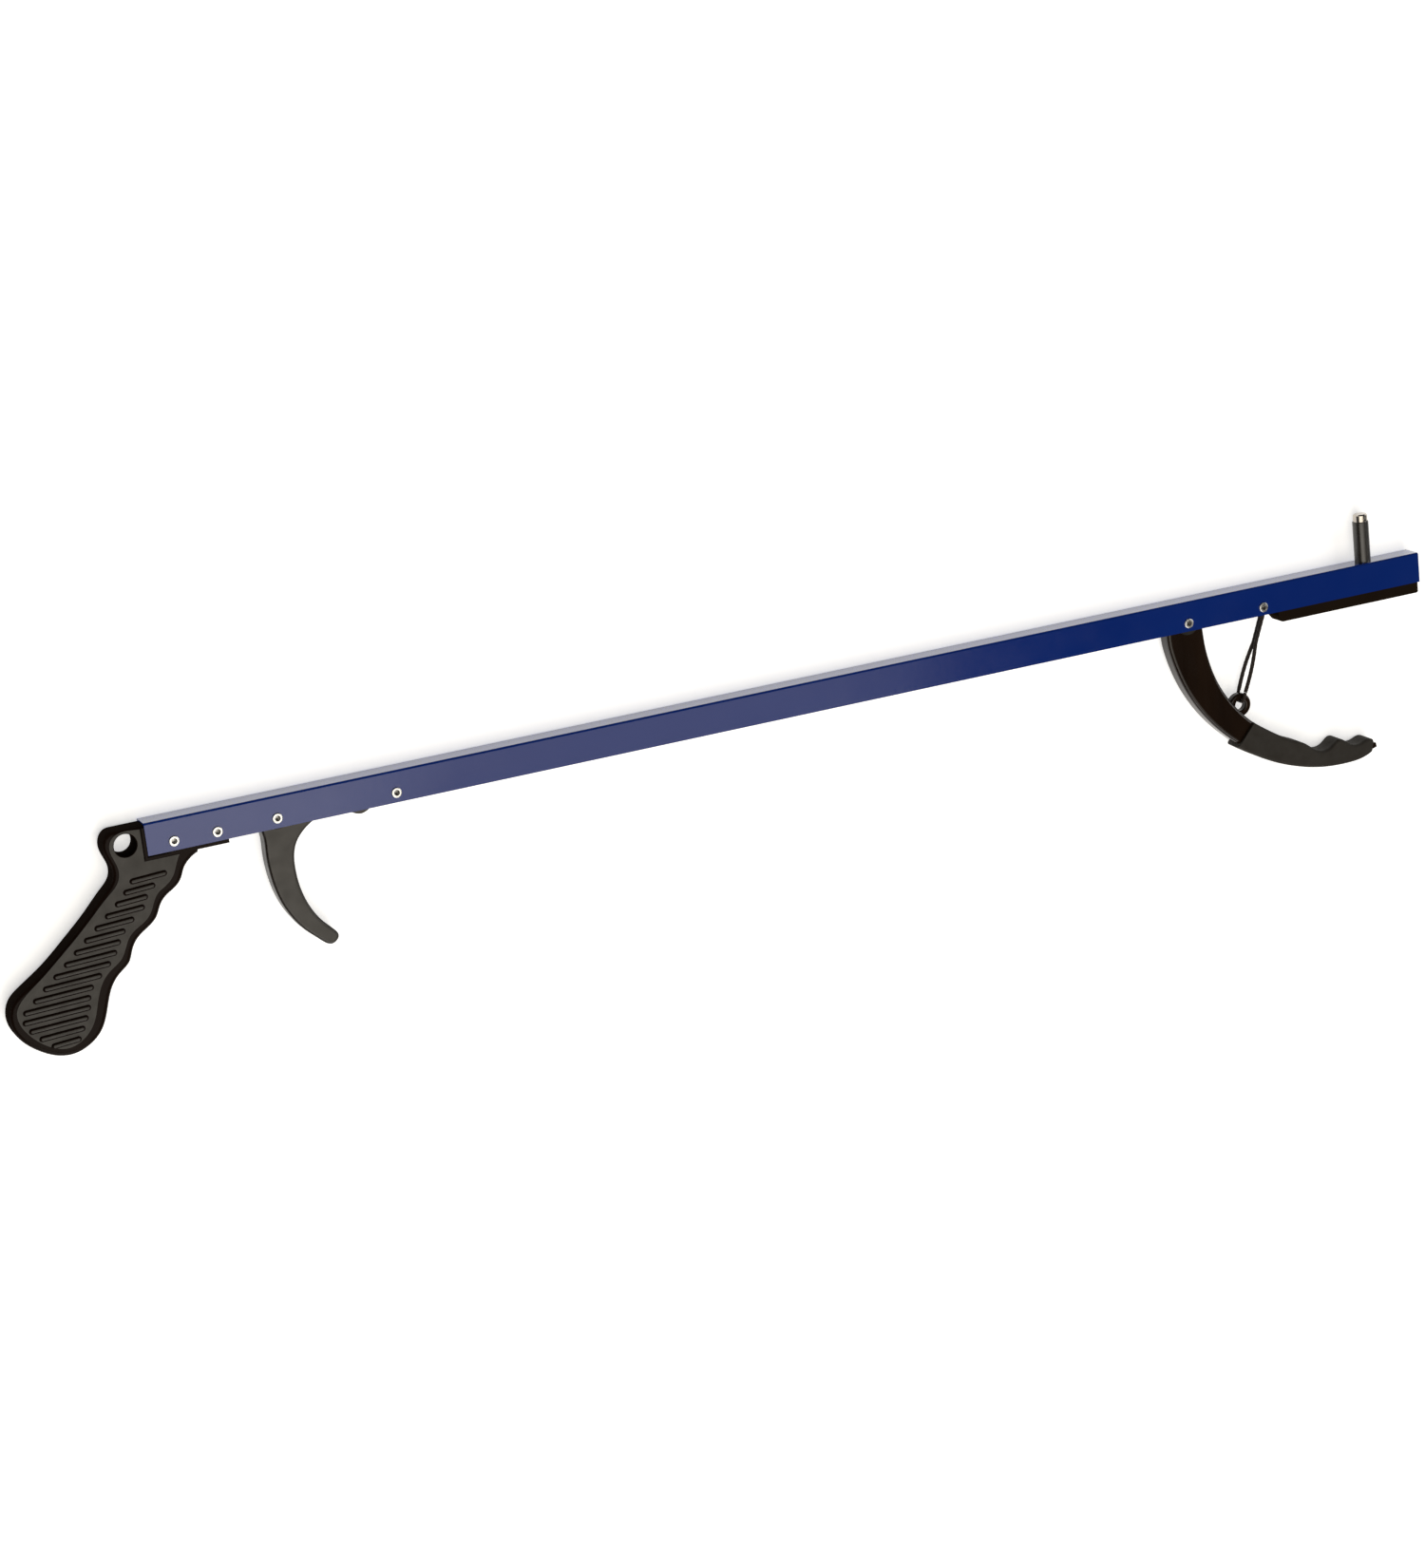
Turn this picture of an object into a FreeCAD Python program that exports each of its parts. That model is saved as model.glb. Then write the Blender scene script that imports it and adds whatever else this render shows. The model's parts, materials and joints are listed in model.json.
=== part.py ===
"""Reacher grabber: a channel tube with a pistol grip, a squeeze trigger, a cord-pulled jaw and a magnet.

The tool lies on its side. X runs along the tube from the grip to the jaw, Y runs across the tube
from its open underside to its closed top, and Z is up, out of the side with the rolled rivet ends.
The parts are drawn with X = 0 at the tube's rear end, Y = 0 on its top and Z = 0 on its middle plane,
and are moved at the end so that the origin is at the bottom centre of the whole tool.
"""
import FreeCAD
import Part

import math
import os

# Driving dimensions, in millimetres and degrees.
TUBE_LENGTH = 706.0
TUBE_WIDTH = 12.7
TUBE_HEIGHT = 15.9
TUBE_WALL = 1.0
TUBE_CORNER = 1.1

# Half thicknesses of the moulded parts, measured from the middle plane.
GRIP_HALF = 5.7
PANEL_HALF = 6.0
LEVER_HALF = 4.6
CORE_HALF = 4.0
EYE_HALF = 2.3
SLEEVE_HALF = 6.2
PAD_HALF = 5.75

# Rivets, washers and rollers.
RIVET_RADIUS = 2.0
RIVET_HEAD = 0.65
RIVET_HEAD_RADIUS = 3.6
RIVET_ROLL_RADIUS = 2.6
RIVET_BORE_RADIUS = 1.1
RIVET_BORE_DEPTH = 2.2
RIVET_FLARE = 0.5
WASHER_RADIUS = 5.7
ROLLER_RADIUS = 3.0
ROLLER_FLANGE = 0.9
ROLLER_RIM = 0.6
HUB_RADIUS = 6.4

# Clearances: between a rivet and its hole, between still parts, and beside a turning lever.
RUNNING_FIT = 0.05
SEAT_FIT = 0.02
SIDE_PLAY = 0.1

# Rivet centres along and across the tube.
GRIP_RIVETS = ((13.2, -11.3), (34.5, -11.3))
TRIGGER_PIVOT = (64.2, -11.0)
REAR_ROLLER = (124.3, -11.0)
JAW_PIVOT = (563.6, -11.6)
FRONT_ROLLER = (608.9, -11.6)

# The grip: its hanging hole, tongue and lip, the bead round the tube's end, its panel and its ribs.
HANG_HOLE = (-10.0, -8.6)
HANG_RADIUS = 5.5
HANG_MOUTH = 0.4
GRIP_ROUND = 2.6
TONGUE_END = 42.0
LIP_START = 10.0
LIP_END = 39.5
LIP_BOTTOM = -17.7
BEAD_WIDTH = 1.2
BEAD_HEIGHT = 0.4
BEAD_START = -1.7
BEAD_TOP = -2.0
RIB_HEIGHT = 1.0
RIB_HALF = 1.5
RIB_RISE = 0.7
RIB_FIRST = -26.0
RIB_PITCH = 4.7
# Where each rib starts and ends along X, from the tube down to the butt.
RIB_SPANS = (
    (-10.7, 7.7), (-14.5, 1.3), (-19.3, -3.0), (-24.8, -5.2), (-30.6, -11.0), (-36.4, -16.0),
    (-42.0, -19.0), (-47.5, -21.5), (-53.3, -25.2), (-59.0, -30.3), (-64.5, -35.0), (-70.0, -37.0),
    (-71.0, -37.8), (-68.6, -39.7), (-64.4, -42.0), (-59.3, -44.5),
)

# The trigger and its cord eye.
TRIGGER_ROUND = 1.6
TRIGGER_EYE_X = 107.2
TRIGGER_EYE_RADIUS = 2.0
TRIGGER_TAB_START = 98.5

# The jaw: the arm, its cord eye and its sleeve.
ARM_ROUND = 1.8
SLEEVE_ROUND = 1.6
JAW_EYE = (593.5, -62.7)
JAW_EYE_RADIUS = 3.0
EAR_RADIUS = 6.4
EAR_ROUND = 1.2
EAR_HOLE_ROUND = 0.9

# The jaw's return spring and the pocket that it sits in.
SPRING_WIRE = 0.9
SPRING_RADIUS = 3.3
SPRING_TURNS = 3
SPRING_PITCH = 1.05
SPRING_BEND = 1.2
SPRING_LEG = 13.5
SPRING_ARM_LEG = 15.0
POCKET_HALF = 2.5
POCKET_FRONT_REACH = 12.0
POCKET_FRONT_HEIGHT = 9.0
LEG_ROOM = 2.0
LEG_BACK_PLAY = 1.7
LEG_FRONT_PLAY = 2.3
POCKET_RADIUS = 5.0

# The anvil pad under the tube's front end.
PAD_START = 618.2
PAD_END = 705.0
PAD_BOTTOM = -21.9
PAD_SLOPE = 2.6
PAD_HEEL = 2.4
PAD_CHAMFER = 0.8
PAD_ROUND = 0.9
PAD_NECK_TOP = -6.0

# The magnet on its post.
POST_X = 675.3
POST_RADIUS = 4.3
POST_TOP = 22.0
POST_ROUND = 0.3
MAGNET_RADIUS = 3.9
MAGNET_BOTTOM = 18.0
MAGNET_TOP = 25.9
MAGNET_CHAMFER = 0.6
SCREW_RADIUS = 1.45
SCREW_TIP = 12.0
SCREW_HEAD_RADIUS = 2.9
SCREW_HEAD_HEIGHT = 1.9
SCREW_SLOT_HALF = 0.35
SCREW_SLOT_REACH = 1.7
SCREW_SLOT_DEPTH = 0.9

# The pull cord: one loop of two strands.
CORD_RADIUS = 0.9
CORD_GAP = 0.3
STRAND_OFFSET = 1.1
EYE_OFFSET = 3.4
TAIL_LENGTH = 43.0
LOOP_REACH = 9.2
LOOP_BACK = 0.5
LOOP_BEND = 3.0
JAW_LOOP_REACH = 7.0
JAW_LOOP_DEPTH = 2.0
JAW_LOOP_BEND = 1.6
KNOT_RADIUS = 1.65
KNOT_START = 6.6
KNOT_LENGTH = 2.3
KNOT_ROUND = 0.45
# How far round the front roller the cord still reaches when the jaw is shut.
SHUT_ANGLE = 11.0

# Worked-out sizes.
TUBE_HALF = TUBE_WIDTH / 2
INNER_HALF = TUBE_HALF - TUBE_WALL
TONGUE_HALF = INNER_HALF - RUNNING_FIT
RIVET_HOLE = RIVET_RADIUS + RUNNING_FIT
RIVET_TOP = TUBE_HALF + RIVET_HEAD
CORD_BEND = ROLLER_RADIUS + CORD_RADIUS + CORD_GAP
HUB_BEND = HUB_RADIUS + CORD_RADIUS + CORD_GAP
UNDERSIDE = -TUBE_HEIGHT
RIB_TOP = PANEL_HALF + RIB_HEIGHT
RIB_RADIUS = (RIB_HALF ** 2 + RIB_HEIGHT ** 2) / (2 * RIB_HEIGHT)
ALONG = FreeCAD.Vector(1, 0, 0)
ACROSS = FreeCAD.Vector(0, 1, 0)
UPWARD = FreeCAD.Vector(0, 0, 1)

GRIP_BACK = (
    (-14.5, -0.6), (-18.9, -2.4), (-20.9, -6.6), (-20.1, -12.6), (-18.0, -18.6), (-18.6, -24.0),
    (-23.2, -29.4), (-32.4, -38.7), (-44.0, -49.2), (-56.6, -59.7), (-68.0, -67.3), (-74.0, -72.4),
    (-76.4, -78.6),
)
GRIP_BUTT = ((-76.4, -78.6), (-75.7, -85.3), (-71.9, -91.9), (-64.3, -98.6), (-56.0, -102.7),
             (-47.9, -103.4), (-40.6, -100.8), (-34.4, -95.6))
GRIP_FRONT = (
    (-34.4, -95.6), (-30.9, -89.0), (-28.3, -81.1), (-25.0, -73.9), (-20.7, -69.3), (-16.0, -65.2),
    (-13.6, -59.6), (-10.2, -54.5), (-4.4, -50.4), (0.2, -46.2), (2.8, -41.0), (6.2, -37.2),
    (10.8, -34.3), (14.4, -30.6), (16.6, -25.8),
)
GRIP_NECK = ((16.6, -25.8), (19.8, -22.2), (24.0, -19.7))
# The raised panel, from the corner beside the tube's underside round the grip to the tube's top.
PANEL_CORNER = (-2.2, -18.2)
PANEL_EDGE = (
    (15.0, -18.2), (12.6, -23.0), (10.4, -27.8), (6.6, -31.6), (2.0, -34.6), (-0.6, -38.6),
    (-2.8, -43.2), (-6.2, -46.8), (-11.6, -50.0), (-15.2, -53.6), (-17.4, -58.0), (-19.8, -62.2),
    (-25.4, -66.4), (-29.8, -70.6), (-32.6, -75.8), (-34.4, -81.0), (-36.2, -87.0), (-39.2, -92.6),
    (-44.6, -97.4), (-51.8, -99.4), (-58.6, -97.4), (-64.6, -93.2), (-69.6, -87.6), (-72.4, -82.0),
    (-72.6, -76.6), (-69.6, -71.8), (-60.0, -64.2), (-50.0, -56.2), (-40.0, -47.8), (-30.0, -38.6),
    (-22.0, -31.2), (-16.6, -26.0), (-15.0, -21.0), (-16.2, -15.0), (-17.8, -9.6), (-16.6, -4.8),
    (-12.4, -2.2), (-7.0, -1.9), (-2.2, -2.4),
)

TRIGGER_OUTLINE = (
    (56.6, -18.4), (56.4, -12.4), (59.2, -6.2), (65.0, -3.7), (73.0, -4.2), (86.0, -5.2), (98.0, -4.9),
    (106.3, -3.4), (112.0, -6.0), (113.9, -11.0), (111.6, -16.4), (106.3, -18.6), (100.0, -16.0),
    (93.5, -14.3), (87.0, -14.8), (81.6, -17.0), (76.2, -21.0), (72.6, -25.6), (70.7, -31.4),
    (70.4, -38.7), (71.5, -47.8), (74.5, -57.2), (79.3, -65.5), (84.6, -71.4), (87.0, -75.6),
    (83.9, -78.8), (76.9, -75.0), (71.0, -69.4), (65.4, -61.9), (61.5, -54.2), (58.9, -46.0),
    (57.3, -36.4), (56.9, -27.1),
)

ARM_OUTLINE = (
    (590.6, -83.8), (580.2, -74.8), (571.3, -65.0), (563.6, -53.8), (557.7, -42.0), (553.7, -30.3),
    (551.6, -18.5), (552.4, -12.6), (556.6, -7.4), (563.6, -5.2), (569.4, -7.4), (572.3, -12.4),
    (573.2, -18.2), (573.9, -25.6), (575.5, -33.8), (578.2, -42.8), (582.1, -51.3), (587.2, -59.4),
    (593.2, -66.7), (601.6, -74.6),
)
ARM_CORE_TOP = ((598.0, -73.6), (610.4, -82.8), (621.0, -89.6), (632.0, -95.4), (643.0, -99.2),
                (655.0, -99.8), (666.0, -98.9), (674.0, -99.4))
ARM_CORE_UNDER = ((674.4, -101.8), (664.0, -103.9), (654.0, -104.6), (643.0, -104.0), (632.0, -102.2),
                  (621.0, -98.9), (610.4, -94.5), (599.6, -88.8), (589.0, -81.0))

SLEEVE_TOP = (
    (598.9, -72.6), (609.8, -80.2), (620.6, -86.4), (630.0, -91.0), (635.0, -94.8), (640.2, -96.7),
    (645.4, -95.3), (650.2, -92.4), (654.0, -94.0), (658.2, -96.9), (663.3, -97.3), (667.6, -95.9),
    (671.4, -96.8),
)
SLEEVE_UNDER = (
    (669.9, -103.8), (664.4, -105.8), (655.4, -106.7), (644.2, -106.3), (633.0, -104.6),
    (622.0, -101.6), (611.0, -97.4), (599.7, -91.6), (588.2, -84.4),
)


def vec(point, z=0.0):
    return FreeCAD.Vector(point[0], point[1], z)


def curve(points, closed=False):
    """A smooth curve through points on the middle plane."""
    spline = Part.BSplineCurve()
    spline.interpolate([vec(p) for p in points], PeriodicFlag=closed)
    return spline.toShape()


def line(start, end):
    return Part.makeLine(vec(start), vec(end))


def slab(edges, half):
    """A plate with the given outline, half above and half below the middle plane."""
    face = Part.Face(Part.Wire(edges))
    face.translate(UPWARD * -half)
    return face.extrude(UPWARD * (2 * half))


def rod(point, radius, low, high):
    """A round bar across the tube, from z = low to z = high."""
    return Part.makeCylinder(radius, high - low, vec(point, low), UPWARD)


def through_hole(point, radius):
    """A bar to cut with, longer than the tool is thick."""
    return rod(point, radius, -TUBE_WIDTH, TUBE_WIDTH)


def block(x_low, x_high, y_low, y_high, z_low, z_high):
    corner = FreeCAD.Vector(x_low, y_low, z_low)
    return Part.makeBox(x_high - x_low, y_high - y_low, z_high - z_low, corner)


def edges_at_height(solid, *heights):
    """The edges that lie wholly at one of these heights above the middle plane."""
    found = []
    for edge in solid.Edges:
        box = edge.BoundBox
        if box.ZLength < 1e-4 and any(abs(box.ZMin - height) < 1e-3 for height in heights):
            found.append(edge)
    return found


def rim_edges(solid, half):
    """The edges that lie wholly on the plate's two flat faces."""
    return edges_at_height(solid, half, -half)


def wire_tube(path, radius):
    """A round solid that follows a path."""
    first = path.OrderedEdges[0]
    start = path.OrderedVertexes[0].Point
    parameter = first.FirstParameter
    if (first.valueAt(parameter) - start).Length > 1e-4:
        parameter = first.LastParameter
    ring = Part.Wire(Part.makeCircle(radius, start, first.tangentAt(parameter)))
    return path.makePipeShell([ring], True, True)


def rounded_path(points, radius):
    """The edges of a path of straight runs with an arc at each corner."""
    edges = []
    start = points[0]
    for before, corner, after in zip(points, points[1:], points[2:]):
        back = (before - corner).normalize()
        ahead = (after - corner).normalize()
        half_angle = back.getAngle(ahead) / 2
        reach = radius / math.tan(half_angle)
        inward = (back + ahead).normalize()
        middle = corner + inward * (radius / math.sin(half_angle) - radius)
        edges.append(Part.makeLine(start, corner + back * reach))
        edges.append(Part.Arc(corner + back * reach, middle, corner + ahead * reach).toShape())
        start = corner + ahead * reach
    edges.append(Part.makeLine(start, points[-1]))
    return edges


def polar(centre, radius, degrees):
    angle = math.radians(degrees)
    return (centre[0] + radius * math.cos(angle), centre[1] + radius * math.sin(angle))


def tangent_over(left, left_radius, right, right_radius):
    """The straight run that touches the tops of two circles: both touch points and its normal's angle."""
    dx = right[0] - left[0]
    dy = right[1] - left[1]
    lean = math.asin((right_radius - left_radius) / math.hypot(dx, dy))
    normal = 90.0 + math.degrees(math.atan2(dy, dx) + lean)
    return polar(left, left_radius, normal), polar(right, right_radius, normal), normal


def arc_edge(centre, radius, start, end, z):
    """An arc on a circle from one angle to another."""
    middle = (start + end) / 2
    points = [vec(polar(centre, radius, a), z) for a in (start, middle, end)]
    return Part.Arc(*points).toShape()


# The cord's line along the tube: over the rear roller, over the jaw's hub and over the front roller.
REAR_TOUCH, HUB_IN, REAR_NORMAL = tangent_over(REAR_ROLLER, CORD_BEND, JAW_PIVOT, HUB_BEND)
HUB_OUT, FRONT_TOUCH, FRONT_NORMAL = tangent_over(JAW_PIVOT, HUB_BEND, FRONT_ROLLER, CORD_BEND)
CORD_SLOPE = (HUB_IN[1] - REAR_TOUCH[1]) / (HUB_IN[0] - REAR_TOUCH[0])


def on_cord_line(x):
    return (x, REAR_TOUCH[1] + CORD_SLOPE * (x - REAR_TOUCH[0]))


TRIGGER_EYE = on_cord_line(TRIGGER_EYE_X)


def hanging_touch():
    """The angle on the front roller where the cord leaves for the jaw's eye."""
    dx = JAW_EYE[0] - FRONT_ROLLER[0]
    dy = JAW_EYE[1] - FRONT_ROLLER[1]
    reach = math.hypot(dx, dy)
    return math.degrees(math.atan2(dy, dx) + math.acos(CORD_BEND / reach))


LEAVE_ANGLE = hanging_touch()
LEAVE_POINT = polar(FRONT_ROLLER, CORD_BEND, LEAVE_ANGLE)
# The direction in which the cord pulls on the jaw's eye.
PULL = (vec(LEAVE_POINT) - vec(JAW_EYE)).normalize()


def channel():
    """The tube: a channel that is open underneath, with the rivets', spring's and screw's holes."""
    outer = block(0, TUBE_LENGTH, UNDERSIDE, 0, -TUBE_HALF, TUBE_HALF)
    corners = [e for e in outer.Edges if e.BoundBox.XLength > 1 and abs(e.BoundBox.YMax) < 1e-3]
    outer = outer.makeFillet(TUBE_CORNER, corners)
    body = outer.cut(block(-1, TUBE_LENGTH + 1, UNDERSIDE - 1, -TUBE_WALL, -INNER_HALF, INNER_HALF))
    for centre in GRIP_RIVETS + (TRIGGER_PIVOT, REAR_ROLLER, JAW_PIVOT, FRONT_ROLLER):
        body = body.cut(through_hole(centre, RIVET_HOLE))
    body = body.cut(rod(spring_hook_point(), SPRING_WIRE / 2 + RUNNING_FIT, -TUBE_WIDTH, 0))
    return body.cut(upright(SCREW_RADIUS + RUNNING_FIT, -TUBE_WALL - 1, 1))


def grip_curve():
    """One spline from the top of the grip round its butt and finger waves to the tube's underside."""
    return curve(GRIP_BACK + GRIP_BUTT[1:] + GRIP_FRONT[1:] + GRIP_NECK[1:])


def grip_edges(outer):
    """The grip's closed outline: the spline and the notch that the tube's end sits in."""
    top_right = (-RUNNING_FIT, GRIP_BACK[0][1])
    seat = UNDERSIDE - RUNNING_FIT
    neck = GRIP_NECK[-1]
    return [
        line(top_right, GRIP_BACK[0]),
        outer,
        line(neck, (neck[0], seat)),
        line((neck[0], seat), (top_right[0], seat)),
        line((top_right[0], seat), top_right),
    ]


def grip_panel():
    """The raised flat panel that the ribs stand on, on both sides of the grip."""
    edges = [
        line(PANEL_EDGE[-1], PANEL_CORNER),
        line(PANEL_CORNER, PANEL_EDGE[0]),
        curve(PANEL_EDGE),
    ]
    return slab(edges, PANEL_HALF)


def grip_rib(start, end, side):
    """A round-topped bar with round ends, on the upper (1) or lower (-1) face of the grip."""
    centre_z = side * (RIB_TOP - RIB_RADIUS)
    first = vec(start, centre_z)
    last = vec(end, centre_z)
    bar = Part.makeCylinder(RIB_RADIUS, (last - first).Length, first, last - first)
    return bar.fuse([Part.makeSphere(RIB_RADIUS, point) for point in (first, last)])


def grip_ribs():
    """The ribs of both sides."""
    ribs = []
    for i, (low, high) in enumerate(RIB_SPANS):
        y = RIB_FIRST - RIB_PITCH * i
        start = (low + RIB_HALF, y - RIB_RISE / 2)
        end = (high - RIB_HALF, y + RIB_RISE / 2)
        ribs += [grip_rib(start, end, side) for side in (1, -1)]
    return ribs


def end_beads():
    """The L-shaped bead round the tube's end, on both sides of the grip."""
    beads = []
    for side in (1, -1):
        root, top = sorted((side * (GRIP_HALF - BEAD_HEIGHT), side * (TUBE_HALF + BEAD_HEIGHT)))
        beads.append(block(BEAD_START, BEAD_START + BEAD_WIDTH, LIP_BOTTOM, BEAD_TOP, root, top))
        beads.append(block(BEAD_START, LIP_START + 1, LIP_BOTTOM, LIP_BOTTOM + BEAD_WIDTH, root, top))
    return beads


def handle_grip():
    """The moulded pistol grip, with a tongue inside the tube and a lip under it."""
    body = slab(grip_edges(grip_curve()), GRIP_HALF)
    long_rims = [e for e in rim_edges(body, GRIP_HALF) if e.Length > 100]
    body = body.makeFillet(GRIP_ROUND, long_rims)
    tongue = block(-SIDE_PLAY, TONGUE_END, UNDERSIDE - SIDE_PLAY, -TUBE_WALL - SIDE_PLAY,
                   -TONGUE_HALF, TONGUE_HALF)
    lip = block(LIP_START, LIP_END, LIP_BOTTOM, UNDERSIDE - RUNNING_FIT, -TUBE_HALF, TUBE_HALF)
    body = body.fuse([tongue, lip, grip_panel()] + grip_ribs() + end_beads())
    body = body.cut(through_hole(HANG_HOLE, HANG_RADIUS))
    for side in (-1, 1):
        mouth = Part.makeCone(HANG_RADIUS, HANG_RADIUS + 2 * HANG_MOUTH, 2 * HANG_MOUTH,
                              vec(HANG_HOLE, side * (PANEL_HALF - HANG_MOUTH)), UPWARD * side)
        body = body.cut(mouth)
    for centre in GRIP_RIVETS:
        body = body.cut(through_hole(centre, RIVET_HOLE))
    return body


def rivet(centre):
    """A tubular rivet: a flat-domed head below and a rolled, hollow end above."""
    shank = rod(centre, RIVET_RADIUS, -TUBE_HALF, TUBE_HALF)
    head = rod(centre, RIVET_HEAD_RADIUS, -RIVET_TOP, -TUBE_HALF)
    head = head.makeFillet(RIVET_HEAD * 0.7, edges_at_height(head, -RIVET_TOP))
    roll = rod(centre, RIVET_ROLL_RADIUS, TUBE_HALF, RIVET_TOP)
    roll = roll.makeFillet(RIVET_HEAD * 0.7, edges_at_height(roll, RIVET_TOP))
    body = shank.fuse([head, roll]).removeSplitter()
    bore = rod(centre, RIVET_BORE_RADIUS, TUBE_HALF - RIVET_BORE_DEPTH, RIVET_TOP + 1)
    flare = Part.makeCone(RIVET_BORE_RADIUS, RIVET_BORE_RADIUS + RIVET_FLARE, RIVET_FLARE,
                          vec(centre, RIVET_TOP - RIVET_FLARE * 0.7), UPWARD)
    return body.cut(bore.fuse(flare))


def washers(centre, radius):
    """A pair of thin washers between a lever and the two walls of the tube."""
    pair = []
    inside = LEVER_HALF + SIDE_PLAY
    for low, high in ((inside, INNER_HALF), (-INNER_HALF, -inside)):
        pair.append(rod(centre, radius, low, high).cut(through_hole(centre, RIVET_HOLE)))
    return Part.makeCompound(pair)


def roller(centre):
    """A small nylon spool that turns on its rivet."""
    body = rod(centre, ROLLER_RADIUS, -LEVER_HALF, LEVER_HALF)
    rims = [rod(centre, ROLLER_RADIUS + ROLLER_FLANGE, low, low + ROLLER_RIM)
            for low in (-LEVER_HALF, LEVER_HALF - ROLLER_RIM)]
    return body.fuse(rims).cut(through_hole(centre, RIVET_HOLE))


def trigger():
    """The squeeze lever, whose forward end thins to a tab with the cord's eye."""
    lever = slab([curve(TRIGGER_OUTLINE, True)], LEVER_HALF)
    lever = lever.makeFillet(TRIGGER_ROUND, rim_edges(lever, LEVER_HALF))
    beyond = TRIGGER_TAB_START + TUBE_HEIGHT + TUBE_WIDTH
    for low, high in ((EYE_HALF, TUBE_WIDTH), (-TUBE_WIDTH, -EYE_HALF)):
        lever = lever.cut(block(TRIGGER_TAB_START, beyond, UNDERSIDE - TUBE_WIDTH, 0, low, high))
    lever = lever.cut(through_hole(TRIGGER_PIVOT, RIVET_HOLE))
    return lever.cut(through_hole(TRIGGER_EYE, TRIGGER_EYE_RADIUS))


def spring_hook_point():
    """Where the spring's leg goes through the tube's far wall."""
    return (JAW_PIVOT[0] + SPRING_LEG, JAW_PIVOT[1] + SPRING_RADIUS)


def arm_core():
    """The thinner end of the arm, which fills the sleeve and shows at its tip."""
    edges = [
        curve(ARM_CORE_TOP),
        line(ARM_CORE_TOP[-1], ARM_CORE_UNDER[0]),
        curve(ARM_CORE_UNDER),
        line(ARM_CORE_UNDER[-1], ARM_CORE_TOP[0]),
    ]
    return slab(edges, CORE_HALF)


def cord_ear():
    """The ring on the arm that the cord pulls."""
    ring = rod(JAW_EYE, EAR_RADIUS, -EYE_HALF, EYE_HALF)
    ring = ring.makeFillet(EAR_ROUND, rim_edges(ring, EYE_HALF))
    ring = ring.cut(through_hole(JAW_EYE, JAW_EYE_RADIUS))
    rims = [e for e in rim_edges(ring, EYE_HALF) if e.BoundBox.XLength < 2 * JAW_EYE_RADIUS + 0.1]
    return ring.makeFillet(EAR_HOLE_ROUND, rims)


def spring_pocket():
    """The space inside the arm for the spring's coil and for its two legs."""
    x, y = JAW_PIVOT
    coil = rod(JAW_PIVOT, POCKET_RADIUS, -POCKET_HALF, POCKET_HALF)
    front_top = y + POCKET_FRONT_HEIGHT
    front = block(x, x + POCKET_FRONT_REACH, y - LEG_ROOM, front_top, -POCKET_HALF, POCKET_HALF)
    leg_x = x - SPRING_RADIUS
    leg_end = y - SPRING_ARM_LEG - LEG_ROOM
    room = block(leg_x - LEG_BACK_PLAY, leg_x + LEG_FRONT_PLAY, leg_end, y, -POCKET_HALF, POCKET_HALF)
    return coil.fuse([front, room])


def jaw_arm():
    """The curved arm with its cord ear and the spring's pocket."""
    lever = slab([curve(ARM_OUTLINE), line(ARM_OUTLINE[-1], ARM_OUTLINE[0])], LEVER_HALF)
    long_rims = [e for e in rim_edges(lever, LEVER_HALF) if e.Length > 50]
    lever = lever.makeFillet(ARM_ROUND, long_rims)
    lever = lever.fuse([arm_core(), cord_ear()])
    lever = lever.cut(through_hole(JAW_EYE, JAW_EYE_RADIUS))
    return lever.cut(spring_pocket()).cut(through_hole(JAW_PIVOT, RIVET_HOLE))


def jaw_sleeve(arm):
    """The rubber sleeve over the arm's end."""
    edges = [
        curve(SLEEVE_TOP),
        line(SLEEVE_TOP[-1], SLEEVE_UNDER[0]),
        curve(SLEEVE_UNDER),
        line(SLEEVE_UNDER[-1], SLEEVE_TOP[0]),
    ]
    body = slab(edges, SLEEVE_HALF)
    long_rims = [e for e in rim_edges(body, SLEEVE_HALF) if e.Length > 20]
    return body.makeFillet(SLEEVE_ROUND, long_rims).cut(arm)


def spring_coil(bottom):
    """The coil's edges: half turns that each rise by half the pitch and start and end level."""
    rise = SPRING_PITCH / 2
    # The middle of a tilted half turn is a little further out, so that its ends are level.
    middle_radius = math.hypot(SPRING_RADIUS, rise / 2)
    edges = []
    for i in range(2 * SPRING_TURNS):
        angle = 90.0 + 180.0 * i
        start = vec(polar(JAW_PIVOT, SPRING_RADIUS, angle), bottom + rise * i)
        middle = vec(polar(JAW_PIVOT, middle_radius, angle + 90), bottom + rise * (i + 0.5))
        end = vec(polar(JAW_PIVOT, SPRING_RADIUS, angle + 180), bottom + rise * (i + 1))
        edges.append(Part.Arc(start, middle, end).toShape())
    return edges


def jaw_return_spring():
    """A torsion spring on the jaw's pivot: one leg hooks into the tube's wall, the other lies in the arm."""
    x, y = JAW_PIVOT
    hook_x, leg_y = spring_hook_point()
    top = SPRING_TURNS * SPRING_PITCH / 2
    hook = [
        FreeCAD.Vector(hook_x, leg_y, SIDE_PLAY - TUBE_HALF),
        FreeCAD.Vector(hook_x, leg_y, -top),
        FreeCAD.Vector(x, leg_y, -top),
    ]
    leg_start = vec(polar(JAW_PIVOT, SPRING_RADIUS, 180.0), top)
    edges = rounded_path(hook, SPRING_BEND) + spring_coil(-top)
    edges.append(arc_edge(JAW_PIVOT, SPRING_RADIUS, 90.0, 180.0, top))
    edges.append(Part.makeLine(leg_start, FreeCAD.Vector(leg_start.x, y - SPRING_ARM_LEG, top)))
    return wire_tube(Part.Wire(edges), SPRING_WIRE / 2)


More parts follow.
